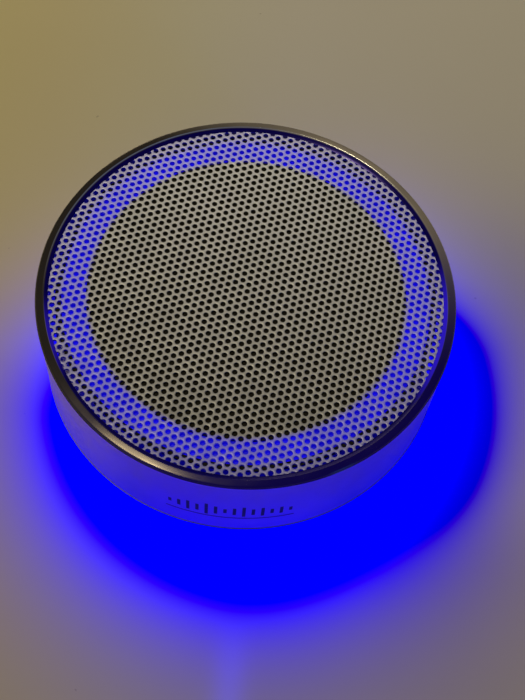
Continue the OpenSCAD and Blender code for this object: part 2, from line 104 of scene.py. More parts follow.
def make_camera():
    """A 61.7 mm lens at EYE, turned a little about its own axis."""
    data = bpy.data.cameras.new("camera")
    data.sensor_width = 36
    data.lens = 61.7
    data.clip_start = 0.01
    cam = bpy.data.objects.new("camera", data)
    bpy.context.scene.collection.objects.link(cam)
    look = (AIM - EYE).normalized()
    side = look.cross(Vector((0, 0, 1))).normalized()
    up = side.cross(look)
    right = math.cos(ROLL) * side + math.sin(ROLL) * up
    upward = math.cos(ROLL) * up - math.sin(ROLL) * side
    turn = Matrix((right, upward, -look)).transposed().to_4x4()
    cam.matrix_world = Matrix.Translation(EYE) @ turn
    bpy.context.scene.camera = cam


# ---------------------------------------------------------------- materials


class Shader:
    """A material's node tree, with short calls for the nodes it is made of."""

    def __init__(self, name):
        self.material = bpy.data.materials.new(name)
        self.material.use_nodes = True
        self.tree = self.material.node_tree
        self.bsdf = self.tree.nodes["Principled BSDF"]
        self.place = self.node("ShaderNodeTexCoord").outputs["Object"]

    def node(self, kind, **values):
        made = self.tree.nodes.new(kind)
        for key, value in values.items():
            setattr(made, key, value)
        return made

    def feed(self, socket, value):
        if isinstance(value, bpy.types.NodeSocket):
            self.tree.links.new(value, socket)
        else:
            socket.default_value = value

    def put(self, **values):
        for key, value in values.items():
            self.feed(self.bsdf.inputs[key.replace("_", " ")], value)

    def math(self, how, a, b=0.0):
        made = self.node("ShaderNodeMath", operation=how)
        self.feed(made.inputs[0], a)
        self.feed(made.inputs[1], b)
        return made.outputs[0]

    def axes(self):
        """The piece's own x, y and z, in metres."""
        parts = self.node("ShaderNodeSeparateXYZ")
        self.feed(parts.inputs[0], self.place)
        return parts.outputs[0], parts.outputs[1], parts.outputs[2]

    def joined(self, *values):
        """Up to three numbers as one vector."""
        made = self.node("ShaderNodeCombineXYZ")
        for socket, value in zip(made.inputs, values):
            self.feed(socket, value)
        return made.outputs[0]

    def scaled(self, colour, factor):
        """A colour times a number."""
        made = self.node("ShaderNodeVectorMath", operation="SCALE")
        self.feed(made.inputs[0], colour)
        self.feed(made.inputs["Scale"], factor)
        return made.outputs[0]

    def noise(self, scale, detail=3.0, stretch=(1, 1, 1)):
        spread = self.node("ShaderNodeMapping")
        self.feed(spread.inputs["Vector"], self.place)
        spread.inputs["Scale"].default_value = stretch
        return self.noise_at(spread.outputs[0], scale, detail)

    def noise_at(self, place, scale=1.0, detail=2.0):
        made = self.node("ShaderNodeTexNoise")
        self.feed(made.inputs["Vector"], place)
        made.inputs["Scale"].default_value = scale
        made.inputs["Detail"].default_value = detail
        return made.outputs["Fac"]

    def ramp(self, value, *stops):
        """Colour stops of (position, colour); a colour may be one grey number."""
        made = self.node("ShaderNodeValToRGB")
        ends = made.color_ramp.elements
        while len(ends) < len(stops):
            ends.new(0.5)
        for end, (at, colour) in zip(ends, stops):
            end.position = at
            end.color = rgba(colour)
        self.feed(made.inputs["Fac"], value)
        return made.outputs["Color"]

    def between(self, value, a0, a1, b0=0.0, b1=1.0, smooth=True):
        """value taken from the range a0..a1 to b0..b1, and held there outside it."""
        made = self.node("ShaderNodeMapRange")
        made.interpolation_type = "SMOOTHSTEP" if smooth else "LINEAR"
        for socket, number in zip(made.inputs[:5], (value, a0, a1, b0, b1)):
            self.feed(socket, number)
        return made.outputs[0]

    def bell(self, value, width):
        """One where value is nought, falling off to both sides."""
        share = self.math("DIVIDE", value, width)
        return self.math("EXPONENT", self.math("MULTIPLY", self.math("MULTIPLY", share, share), -1.0))

    def rise(self, value, start, reach):
        """Nought up to start, then towards one, with most of the way done within reach."""
        past = self.math("MAXIMUM", self.math("SUBTRACT", value, start), 0.0)
        share = self.math("EXPONENT", self.math("MULTIPLY", self.math("DIVIDE", past, reach), -1.0))
        return self.math("SUBTRACT", 1.0, share)

    def mix(self, factor, a, b):
        made = self.node("ShaderNodeMix", data_type="RGBA")
        self.feed(made.inputs[0], factor)
        self.feed(made.inputs[6], a if isinstance(a, bpy.types.NodeSocket) else rgba(a))
        self.feed(made.inputs[7], b if isinstance(b, bpy.types.NodeSocket) else rgba(b))
        return made.outputs[2]

    def bump(self, height, depth, strength=1.0, below=None):
        made = self.node("ShaderNodeBump")
        made.inputs["Strength"].default_value = strength
        made.inputs["Distance"].default_value = depth
        self.feed(made.inputs["Height"], height)
        if below is not None:
            self.feed(made.inputs["Normal"], below)
        self.feed(self.bsdf.inputs["Normal"], made.outputs[0])
        return made.outputs[0]

    def radius(self, x=0.0, y=0.0):
        """Distance from the vertical axis through (x, y), in metres."""
        own_x, own_y, _ = self.axes()
        dx = self.math("SUBTRACT", own_x, x)
        dy = self.math("SUBTRACT", own_y, y)
        return self.math("SQRT", self.math("ADD", self.math("POWER", dx, 2), self.math("POWER", dy, 2)))


def rgba(colour):
    """A colour, or one grey number, with full opacity."""
    if isinstance(colour, (int, float)):
        colour = (colour, colour, colour)
    return (*colour[:3], 1.0)


def lift(colour, by):
    """A lighter or darker version of a colour."""
    return tuple(min(1.0, c * by) for c in colour)


def plastic(name, colour, rough=0.45, grain=5200, depth=0.00001, spread=0.08):
    """Moulded plastic: fine spark-eroded grain, faint blotches and handling marks."""
    s = Shader(name)
    blotch = s.noise(160, 4)
    s.put(
        Base_Color=s.ramp(blotch, (0.3, lift(colour, 1 - spread)), (0.7, lift(colour, 1 + spread))),
        Roughness=s.between(s.noise(420, 5), 0.3, 0.7, rough - 0.07, rough + 0.08),
    )
    s.bump(s.noise(grain, 2), depth, 0.5)
    return s.material


def metal(name, colour, rough=0.3, brushed=(1, 1, 1), grain=900, depth=0.000004):
    """Bare or plated metal with lay marks along one direction and smudges."""
    s = Shader(name)
    lay = s.noise(grain, 4, brushed)
    smudge = s.noise(110, 3)
    s.put(
        Base_Color=s.ramp(lay, (0.25, lift(colour, 0.88)), (0.75, lift(colour, 1.06))),
        Metallic=1.0,
        Roughness=s.math("ADD", s.between(smudge, 0.35, 0.7, rough - 0.05, rough + 0.07),
                         s.between(lay, 0.3, 0.7, -0.03, 0.03)),
    )
    s.bump(lay, depth, 0.5)
    return s.material


def soft(name, colour, rough=0.85, grain=3000, depth=0.00003, sheen=0.15):
    """Rubber, foam and insulation: matt, with a little sheen and dust."""
    s = Shader(name)
    dust = s.between(s.noise(700, 6), 0.55, 0.8)
    s.put(
        Base_Color=s.mix(s.math("MULTIPLY", dust, 0.06), colour, 0.5),
        Roughness=s.between(s.noise(260, 3), 0.3, 0.7, rough - 0.08, rough + 0.08),
        Sheen_Weight=sheen,
    )
    s.bump(s.noise(grain, 3), depth, 0.5)
    return s.material


def woven(name, colour, pitch=0.00035, depth=0.00006, sheen=0.2):
    """A fine over-and-under weave, with uneven threads."""
    s = Shader(name)
    x, y, _ = s.axes()
    turn = math.pi / pitch
    warp = s.math("SINE", s.math("MULTIPLY", x, turn))
    weft = s.math("SINE", s.math("MULTIPLY", y, turn))
    over = s.math("MULTIPLY", warp, weft)
    thread = s.between(over, -1, 1)
    s.put(
        Base_Color=s.mix(thread, lift(colour, 0.55), lift(colour, 1.3)),
        Roughness=0.9,
        Sheen_Weight=sheen,
    )
    s.bump(s.math("ADD", thread, s.math("MULTIPLY", s.noise(2600, 2), 0.3)), depth, 0.8)
    return s.material


def board(name, colour, ink=0.8):
    """Solder mask over copper tracks: raised lines, darker gaps, small bright pads."""
    s = Shader(name)
    cells = s.node("ShaderNodeTexVoronoi", distance="CHEBYCHEV", feature="F1")
    s.feed(cells.inputs["Vector"], s.place)
    cells.inputs["Scale"].default_value = 420
    track = s.between(s.math("FRACT", s.math("MULTIPLY", cells.outputs["Distance"], 3.0)), 0.35, 0.5)
    pads = s.node("ShaderNodeTexVoronoi", feature="F1")
    s.feed(pads.inputs["Vector"], s.place)
    pads.inputs["Scale"].default_value = 330
    dot = s.math("LESS_THAN", pads.outputs["Distance"], 0.13)
    mask = s.mix(track, lift(colour, 0.75), lift(colour, 1.25))
    s.put(
        Base_Color=s.mix(dot, mask, (ink, ink * 0.86, ink * 0.62)),
        Metallic=s.math("MULTIPLY", dot, 0.9),
        Roughness=0.32,
        Coat_Weight=0.3,
    )
    s.bump(track, 0.00003, 0.5)
    return s.material


def wound(name, colour):
    """Enamelled wire in close turns."""
    s = Shader(name)
    wire = 0.00018
    turns = s.math("SINE", s.math("MULTIPLY", s.axes()[2], 2 * math.pi / wire))
    s.put(
        Base_Color=s.mix(s.between(turns, -1, 1), lift(colour, 0.45), lift(colour, 1.15)),
        Metallic=0.9,
        Roughness=0.28,
        Coat_Weight=0.6,
    )
    s.bump(turns, 0.00004, 0.8)
    return s.material


BLUE = (0.007, 0.003, 1.0)


def lit(name, strength, mottle=0.25):
    """Frosted acrylic with blue light inside it: brighter and duller patches along it."""
    s = Shader(name)
    glow = s.between(s.noise(240, 2), 0.35, 0.7, 1 - mottle, 1 + mottle)
    s.put(
        Base_Color=s.ramp(s.noise(1500, 3), (0.3, (0.004, 0.004, 0.16)), (0.7, (0.008, 0.008, 0.24))),
        Roughness=0.5,
        Specular_IOR_Level=0.12,
        Emission_Color=rgba(BLUE),
        Emission_Strength=s.math("MULTIPLY", glow, strength),
    )
    s.bump(s.noise(2400, 3), 0.00003, 0.4)
    return s.material


def wall_metal():
    """Satin silver coat: fine orange peel, a faint turning lay and soft wear at the lower edge, with light
    painted
    over the front: a warm lamp-lit tone on the left, a blue-lit purple tone on the right, a painted warm glow
    at the left front and a painted blue glow from the table low on the front."""
    s = Shader("satin silver coat")
    x, y, z = s.axes()
    peel = s.noise(2300, 3)
    lay = s.noise(1.0, 3, (260, 260, 5200))
    cloud = s.noise(55, 4)
    wear = s.math("MULTIPLY", s.between(z, WALL_LOW + 0.0009, WALL_LOW + 0.0002), s.noise(900, 5))
    # Painted light: the front is tinted warm on the left, as if lit by the lamp, and purple on the right, as
    # if lit blue from the table; the rear stays plain grey
    left = s.ramp(cloud, (0.3, (0.86, 0.80, 0.62)), (0.7, (0.93, 0.87, 0.68)))
    right = s.ramp(cloud, (0.3, (0.54, 0.31, 0.78)), (0.7, (0.60, 0.35, 0.85)))
    base = s.mix(s.between(x, -0.038, -0.008), left, right)
    plain = s.ramp(cloud, (0.3, (0.68, 0.67, 0.66)), (0.7, (0.75, 0.74, 0.73)))
    base = s.mix(s.between(y, -0.008, 0.010), base, plain)
    # Painted glow, as emission: side is a warm glow at the left front, front a blue glow from the table low
    # on the front
    side = s.math("MULTIPLY", s.between(x, -0.012, -0.030), s.between(y, -0.004, -0.024))
    front = s.math("MULTIPLY", s.between(y, -0.0325, -0.0395), s.between(z, 0.024, 0.008, 0.4, 1.0))
    s.put(
        Base_Color=s.mix(s.math("MULTIPLY", wear, 0.5), base, (0.9, 0.9, 0.92)),
        Metallic=0.35,
        Roughness=s.between(s.noise(330, 4), 0.3, 0.7, 0.30, 0.40),
        Coat_Weight=0.25,
        Coat_Roughness=0.25,
        Emission_Color=s.mix(side, (0.004, 0.0, 0.19), (0.032, 0.018, 0.0)),
        Emission_Strength=s.math("MAXIMUM", front, side),
    )
    first = s.bump(peel, 0.000012, 0.4)
    s.bump(lay, 0.000004, 0.4, below=first)
    return s.material


def bezel_metal():
    """Polished rim turned on a lathe: rings too fine to see one by one, smudges and small nicks.
    The crown is dark metal, painted darker towards the front; the bevel inside it is painted darker still, as
    shade, with painted blue reflections; a painted highlight line parts the two at the back; and painted
    reflections of the room glow over it."""
    s = Shader("polished rim")
    x, y, z = s.axes()
    angle = s.math("ARCTAN2", y, x)
    radius = s.radius()
    smudge = s.noise(140, 4)
    nick = s.between(s.noise(1700, 2), 0.72, 0.78)
    turning = s.noise_at(s.joined(
        s.math("MULTIPLY", angle, 3.0), s.math("MULTIPLY", radius, 16000.0), s.math("MULTIPLY", z, 16000.0)))
    streak = s.noise_at(s.joined(s.math("MULTIPLY", angle, 2.0), s.math("MULTIPLY", radius, 3600.0)))
    tangent = s.node("ShaderNodeTangent", direction_type="RADIAL", axis="Z")
    s.bsdf.inputs["Anisotropic Rotation"].default_value = 0.25
    s.feed(s.bsdf.inputs["Tangent"], tangent.outputs[0])

    # Painted shade: the bevel's base is near black with a blue cast
    bevel = s.between(radius, 0.0382, 0.0384, 1.0, 0.0)
    # A painted highlight: a light band at the crown's inner edge, shown only towards the back
    line = s.math("MULTIPLY", s.between(radius, HIGHLIGHT_LINE_IN, HIGHLIGHT_LINE_IN + 0.0001),
                  s.between(radius, HIGHLIGHT_LINE_OUT - 0.00012, HIGHLIGHT_LINE_OUT, 1.0, 0.0))
    line = s.math("MULTIPLY", line, s.between(y, -0.012, 0.004))
    grain = s.math("ADD", s.math("MULTIPLY", turning, 0.4), s.math("MULTIPLY", streak, 0.6))
    crown = s.mix(s.between(grain, 0.35, 0.65), (0.040, 0.037, 0.035), (0.085, 0.076, 0.068))
    # Painted shade: the crown is darker towards the front
    crown = s.mix(s.between(y, 0.030, -0.030), crown, (0.042, 0.038, 0.035))

    # The room's soft light: warm at the back, brightest towards the right, and blue at the front
    back = s.between(s.math("SUBTRACT", y, s.math("MULTIPLY", x, 0.5)), -0.036, 0.004)
    rear_right = s.math("ADD", s.math("MULTIPLY", x, 0.64), s.math("MULTIPLY", y, 0.77))
    rear_left = s.math("SUBTRACT", s.math("MULTIPLY", y, 0.77), s.math("MULTIPLY", x, 0.64))
    room = s.between(back, 0.0, 1.0, 0.045, s.between(rear_right, 0.0115, 0.039, 0.014, 0.105), smooth=False)

    # The bevel picks up blue at the right and, less, at the left
    right_blue_reflection = s.math("MULTIPLY", s.between(x, 0.031, 0.0365), s.between(y, 0.012, -0.001))
    left_blue_reflection = s.math("MULTIPLY", s.between(x, -0.031, -0.0355), s.between(y, -0.003, -0.012))
    blue_reflections = s.math("ADD", s.math("MULTIPLY", right_blue_reflection, 0.42), s.math("MULTIPLY", left_blue_reflection, 0.22))
    room = s.between(bevel, 0.0, 1.0, room, s.math("ADD", blue_reflections, 0.036), smooth=False)
    tint = s.mix(bevel, s.mix(back, (0.06, 0.02, 1.0), (1.0, 0.80, 0.54)), (0.05, 0.02, 1.0))
    glint = s.math("MULTIPLY", line, s.between(rear_left, 0.018, 0.038))
    s.put(
        Base_Color=s.mix(line, s.mix(bevel, crown, (0.008, 0.006, 0.03)), (0.24, 0.25, 0.30)),
        Metallic=1.0,
        Roughness=s.math("ADD", s.between(smudge, 0.3, 0.7, 0.20, 0.28), s.math("MULTIPLY", nick, 0.2)),
        Anisotropic=0.9,
        Emission_Color=s.mix(glint, tint, (0.55, 0.66, 1.0)),
        Emission_Strength=s.between(glint, 0.0, 1.0, room, 0.11, smooth=False),
    )
    s.bump(turning, 0.000002, 0.4)
    return s.material


def chamfer_metal():
    """The wall's bare lower edge, its colour painted bright at the left and darker towards the right: a
    painted reflection.
    """
    s = Shader("bright chamfer")
    tone = s.ramp(s.noise(800, 3), (0.3, (0.80, 0.76, 0.84)), (0.7, (0.9, 0.86, 0.94)))
    s.put(
        # Painted reflection: brighter at the left, darker towards the right
        Base_Color=s.scaled(tone, s.between(s.axes()[0], -0.034, 0.004, 0.7, 0.22)),
        Metallic=1.0,
        Roughness=s.between(s.noise(500, 3), 0.3, 0.7, 0.12, 0.22),
    )
    s.bump(s.noise(2600, 2), 0.000003, 0.4)
    return s.material


def grille_metal():
    """Coated sheet: light warm grey, small scratches and dust, painted darker at the front, dark holes'
    walls, and a painted blue glow over the ring.
    """
    s = Shader("perforated sheet")
    x, y, z = s.axes()
    radius = s.radius()
    cloud = s.noise(70, 4)
    speck = s.between(s.noise(1500, 3), 0.70, 0.76)
    dust = s.between(s.noise(620, 5), 0.60, 0.72)
    base = s.ramp(cloud, (0.3, (0.55, 0.59, 0.75)), (0.7, (0.62, 0.66, 0.84)))
    worn = s.mix(s.math("MULTIPLY", speck, 0.45), base, (0.16, 0.14, 0.11))
    # Painted shade: the sheet's colour is scaled from dark at the front to light at the back
    across = s.math("ADD", y, s.math("MULTIPLY", x, 0.11))
    lighter = s.between(across, -0.0385, 0.0385, 0.40, 1.40, smooth=False)
    dusty_and_shaded = s.scaled(s.mix(s.math("MULTIPLY", dust, 0.16), worn, 0.75), lighter)
    # A painted blue glow over the lit ring: blue in the sheet's colour and in the holes' walls, and blue
    # emission
    inside = s.between(radius, 0.0296, 0.0312)
    outside = s.between(radius, 0.0342, 0.0362, 1.0, 0.35)
    painted_blue_halo = s.math("MULTIPLY", inside, outside)
    # The holes' walls: dark, and painted blue over the ring
    in_hole = s.between(z, GRILLE_TOP - 0.00010, GRILLE_TOP - 0.00004, 1.0, 0.0)
    s.put(
        Base_Color=s.mix(in_hole, s.mix(s.math("MULTIPLY", painted_blue_halo, 0.35), dusty_and_shaded, (0.1, 0.08, 0.6)),
                         s.mix(painted_blue_halo, (0.03, 0.026, 0.024), (0.004, 0.003, 0.35))),
        Metallic=0.25,
        Roughness=s.math("SUBTRACT", s.between(s.noise(380, 4), 0.3, 0.7, 0.42, 0.56),
                         s.between(z, GRILLE_TOP - 0.00004, GRILLE_TOP - 0.00001, 0.2, 0.0)),
        Emission_Color=rgba((0.03, 0.02, 1.0)),
        Emission_Strength=s.math("MULTIPLY", painted_blue_halo, 0.27),
    )
    s.bump(s.noise(3800, 3), 0.000012, 0.5)
    return s.material


# Where the painted glow, the painted shadow of the body and its painted penumbra lie on the table, in metres
GLOW_CENTRE, GLOW_EDGE, GLOW_FADE = (0.00325, -0.0111), 0.0436, -131.0
HAZE_CENTRE, HAZE_FADE, HAZE = (0.004, -0.035), -16.0, 0.07
SHADOW_CENTRE = (0.0069, -0.0068)
PENUMBRA_CENTRE, PENUMBRA_WIDTH = (0.060, 0.020), 0.025
RAY_X, RAY_WIDTH, RAY = 0.0024, 0.0032, 0.22


def floor_paint():
    """A pale table top with painted light: near the base a painted shadow where the blue glow drowns the
    lamp's warm light, a painted blue glow, haze and ray, and a painted falloff across it.
    """
    s = Shader("pale table")
    x, y, _ = s.axes()
    blotch = s.noise(9, 4)
    speck = s.between(s.noise(330, 2), 0.765, 0.79)
    # Painted light: the table is lighter towards the far left, where the lamp stands, and darker towards the
    # front and right
    far_left = s.math("SUBTRACT", y, s.math("MULTIPLY", x, 0.28))
    lighter = s.between(far_left, -0.14, 0.12, 0.63, 1.0, smooth=False)
    paint = s.ramp(blotch, (0.3, (0.69, 0.69, 0.67)), (0.7, (0.73, 0.73, 0.71)))
    split = s.node("ShaderNodeSeparateColor")
    s.feed(split.inputs[0], s.mix(s.math("MULTIPLY", speck, 0.4), paint, (0.25, 0.22, 0.2)))

    # The warm light starts where the body's shadow and the glow end, sooner behind the body
    rear = s.math("SUBTRACT", y, s.between(x, -0.02, 0.03, -0.0194, 0.004))
    rear = s.math("MAXIMUM", rear, 0.0)
    sooner = s.math("MULTIPLY", s.math("MULTIPLY", rear, rear), 20.0)
    away = s.math("ADD", s.radius(*SHADOW_CENTRE), sooner)
    # The shadow's edge is sharper and further out on the right
    right = s.math("MULTIPLY", s.between(x, 0.022, 0.044), s.between(y, -0.052, -0.020))
    reach = s.between(right, 0.0, 1.0, s.between(x, -0.02, 0.02, 0.0112, 0.0145), 0.0065)
    start = s.between(right, 0.0, 1.0, s.between(x, 0.0, 0.03, 0.0461, 0.0427), 0.0458)
    green_start = s.math("ADD", start, s.between(right, 0.0, 1.0, 0.0016, 0.0008))
    # A painted shadow, the dim patch of the lamp's penumbra, lies beyond it
    dim = s.between(s.bell(s.radius(*PENUMBRA_CENTRE), PENUMBRA_WIDTH), 0.0, 1.0, 1.0, 0.73, smooth=False)
    red = s.math("MULTIPLY", s.rise(away, start, reach), dim)
    green = s.math("MULTIPLY", s.rise(away, green_start, s.math("MULTIPLY", reach, 1.1)), dim)
    # Painted tint: less green and blue towards the left, warmer where the lamp light falls
    green = s.math("MULTIPLY", green, s.between(x, -0.06, -0.01, 0.93, 1.0))
    blue = s.between(x, -0.075, 0.015, 0.55, 1.0)
    joined = s.node("ShaderNodeCombineColor")
    for channel, share in enumerate((red, green, blue)):
        lit_channel = s.math("MULTIPLY", split.outputs[channel], lighter)
        s.feed(joined.inputs[channel], s.math("MULTIPLY", lit_channel, share))

    # The blue glow fades with the distance past the edge of the base
    past = s.math("SUBTRACT", s.radius(*GLOW_CENTRE), GLOW_EDGE)
    rear = s.math("MULTIPLY", s.math("MAXIMUM", y, 0.0), s.between(x, -0.04, 0.04, 0.26, 0.0))
    past = s.math("ADD", past, rear)
    bulge = s.between(y, -0.040, 0.0115, 0.0024, -0.0026)
    past = s.math("ADD", past, s.math("MULTIPLY", s.between(x, 0.0, 0.035), bulge))
    past = s.math("MAXIMUM", past, 0.0)
    near = s.math("EXPONENT", s.math("MULTIPLY", past, GLOW_FADE))
    far = s.math("EXPONENT", s.math("MULTIPLY", s.radius(*HAZE_CENTRE), HAZE_FADE))
    # A faint ray runs forward from the base
    ray = s.bell(s.math("SUBTRACT", x, RAY_X), RAY_WIDTH)
    ray = s.math("MULTIPLY", ray, s.between(y, -0.050, -0.066))
    ray = s.math("MULTIPLY", ray, s.between(y, -0.16, -0.07))
    glow = s.math("ADD", near, s.math("MULTIPLY", far, HAZE))
    glow = s.math("ADD", glow, s.math("MULTIPLY", ray, RAY))
    s.put(
        Base_Color=joined.outputs[0],
        Roughness=0.62,
        Specular_IOR_Level=s.between(red, 0.0, 1.0, 0.0, 0.3),
        Emission_Color=rgba((0.0, 0.0, 1.0)),
        Emission_Strength=glow,
    )
    s.bump(s.noise(420, 4), 0.00004, 0.25)
    return s.material


# ---------------------------------------------------------------- meshes


def mesh_object(name, points, faces, materials, smooth=35):
    mesh = bpy.data.meshes.new(name)
    mesh.from_pydata([tuple(p) for p in points], [], faces)
    mesh.validate()
    obj = bpy.data.objects.new(name, mesh)
    bpy.context.scene.collection.objects.link(obj)
    for m in materials:
        mesh.materials.append(m)
    shade(obj, smooth)
    return obj


def shade(obj, degrees):
    """Smooth faces, with a sharp edge wherever two meet at more than the given angle."""
    mesh = obj.data
    mesh.polygons.foreach_set("use_smooth", [True] * len(mesh.polygons))
    mesh.set_sharp_from_angle(angle=math.radians(degrees))
    mesh.update()


def lathe(name, profile, materials, segments=288, smooth=35, slots=None):
    """A closed profile of (r, z) points in mm, turned about the axis. slots gives each step's material."""
    count = len(profile)
    points = [
        (r * MM * math.cos(2 * math.pi * k / segments), r * MM * math.sin(2 * math.pi * k / segments), z * MM)
        for k in range(segments)
        for r, z in profile
    ]
    faces = [
        (k * count + i, (k + 1) % segments * count + i,
         (k + 1) % segments * count + (i + 1) % count, k * count + (i + 1) % count)
        for k in range(segments)
        for i in range(count)
    ]
    obj = mesh_object(name, points, faces, materials, smooth)
    if slots:
        obj.data.polygons.foreach_set("material_index", slots * segments)
    mend(obj)
    return obj


def mend(obj):
    """Welds points that coincide and makes every face look outward."""
    work = bmesh.new()
    work.from_mesh(obj.data)
    bmesh.ops.remove_doubles(work, verts=work.verts, dist=1e-7)
    bmesh.ops.recalc_face_normals(work, faces=work.faces)
    work.to_mesh(obj.data)
    work.free()
    obj.data.update()


def arc(cx, cy, r, a0, a1, steps=6):
    """Points on a circle, from the angle a0 to a1 in degrees."""
    return [
        (cx + r * math.cos(math.radians(a0 + (a1 - a0) * i / steps)),
         cy + r * math.sin(math.radians(a0 + (a1 - a0) * i / steps)))
        for i in range(steps + 1)
    ]


def rounded(points, radius, steps=4):
    """A closed profile whose corners are rounded; radius may be a number or one per corner."""
    out = []
    count = len(points)
    for i, p in enumerate(points):
        r = radius[i] if isinstance(radius, (list, tuple)) else radius
        a, b, c = Vector(points[i - 1]), Vector(p), Vector(points[(i + 1) % count])
        u, v = (a - b), (c - b)
        r = min(r, u.length * 0.45, v.length * 0.45)
        if r < 1e-6:
            out.append(tuple(b))
            continue
        start, end = b + u.normalized() * r, b + v.normalized() * r
        for k in range(steps + 1):
            t = k / steps
            out.append(tuple((1 - t) ** 2 * start + 2 * t * (1 - t) * b + t ** 2 * end))
    return out


def apply_modifiers(obj):
    bpy.context.view_layer.update()
    made = bpy.data.meshes.new_from_object(obj.evaluated_get(bpy.context.evaluated_depsgraph_get()))
    obj.modifiers.clear()
    obj.data = made


def cut(obj, cutter):
    """Takes the cutter's volume out of obj, and the cutter out of the scene."""
    tool = obj.modifiers.new("cut", "BOOLEAN")
    tool.operation = "DIFFERENCE"
    tool.solver = "EXACT"
    tool.object = cutter
    apply_modifiers(obj)
    bpy.data.objects.remove(cutter)


def window(width, height, corner, z):
    """A cutter for an opening to the rear: a rounded rectangle pushed along +Y (all mm)."""
    y0, y1 = 20, 50
    w, h = width / 2, height / 2
    loop = rounded([(-w, -h), (w, -h), (w, h), (-w, h)], corner, 8)
    points = [(x * MM, y * MM, (z + up) * MM) for y in (y0, y1) for x, up in loop]
    n = len(loop)
    faces = [tuple(range(n)), tuple(range(2 * n - 1, n - 1, -1))]
    faces += [(i, (i + 1) % n, n + (i + 1) % n, n + i) for i in range(n)]
    obj = mesh_object("cutter", points, faces, [])
    mend(obj)
    return obj


def round_normals(obj):
    """Gives the faces that belong to the turned wall the cylinder's own normals."""
    mesh = obj.data
    normals = []
    for poly in mesh.polygons:
        middle = Vector((poly.center.x, poly.center.y, 0)).normalized()
        facing = poly.normal.dot(middle)
        for corner in poly.loop_indices:
            co = mesh.vertices[mesh.loops[corner].vertex_index].co
            if abs(facing) > 0.97:
                n = Vector((co.x, co.y, 0)).normalized() * (1 if facing > 0 else -1)
            else:
                n = poly.normal
            normals.append(tuple(n))
    mesh.polygons.foreach_set("use_smooth", [True] * len(mesh.polygons))
    mesh.normals_split_custom_set(normals)


def softened(node, width, material, segments=2):
    """A copy of a CAD node with its edges eased, to stand for it."""
    obj = bpy.data.objects.new(node + "_eased", NODES[node].data.copy())
    bpy.context.scene.collection.objects.link(obj)
    work = bmesh.new()
    work.from_mesh(obj.data)
    bmesh.ops.remove_doubles(work, verts=work.verts, dist=2e-6)
    bmesh.ops.dissolve_limit(work, angle_limit=math.radians(1.5), verts=work.verts, edges=work.edges)
    work.to_mesh(obj.data)
    work.free()
    ease = obj.modifiers.new("ease", "BEVEL")
    ease.width = width * MM
    ease.segments = segments
    ease.limit_method = "ANGLE"
    ease.angle_limit = math.radians(30)
    ease.use_clamp_overlap = True
    apply_modifiers(obj)
    obj.data.materials.clear()
    obj.data.materials.append(material)
    obj.data.polygons.foreach_set("material_index", [0] * len(obj.data.polygons))
    shade(obj, 32)
    return obj


def stand_for(obj, node, body="base"):
    """obj takes a CAD node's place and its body."""
    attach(obj, body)
    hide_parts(node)


# ---------------------------------------------------------------- outer pieces


def make_sleeve(wall, chamfer):
    """The wall, with a bright bead along its lower edge and a window at the rear for the panel."""
    r, z0, z1 = BODY_R / MM, WALL_LOW / MM, WALL_TOP / MM
    bead = arc(r - 0.3, z0 + 0.3, 0.3, -90, 20, 6)
    coated = [
        (r - 0.12, z0 + 0.56), (r - 0.12, z1 - 0.12), (r - 0.2, z1), (r - 0.85, z1),
        (r - 0.85, z1 - 1.55), (r - 1.4, z1 - 1.55), (r - 1.4, z0 + 0.8),
    ]
    profile = [(r - 2.8, z0)] + bead + coated + [(r - 2.8, z0 + 0.8)]
    slots = [1] * (len(bead) + 1) + [0] * len(coated) + [1]
    obj = lathe("sleeve", profile, [wall, chamfer], segments=288, slots=slots)
    cut(obj, window(width=39, height=16, corner=3, z=15.9))
    round_normals(obj)
    stand_for(obj, "housing_sleeve")


def make_bezel(material):
    """The rim: a rounded crown, then a bevel down to the sheet and a skirt inside the wall."""
    r, top, seat = BODY_R / MM, BODY_TOP / MM, WALL_TOP / MM
    lip = GRILLE_TOP / MM
    profile = (
        [(r - 0.02, seat + 0.02)]
        + arc(r - 0.58, top - 0.46, 0.45, 0, 84, 9)
        + [(r - 0.9, top - 0.004), (r - 1.2, top)]
        + arc(r - 1.5, top - 0.16, 0.16, 90, 142, 6)
        + [(r - 2.06, lip + 0.13), (r - 2.40, lip + 0.015), (r - 2.42, lip + 0.01)]
        + [(r - 1.75, lip + 0.01), (r - 1.75, seat - 1.4)]
        + [(r - 0.92, seat - 1.4), (r - 0.92, seat + 0.02)]
    )
    obj = lathe("rim", profile, [material], segments=360, smooth=28)
    stand_for(obj, "top_bezel")


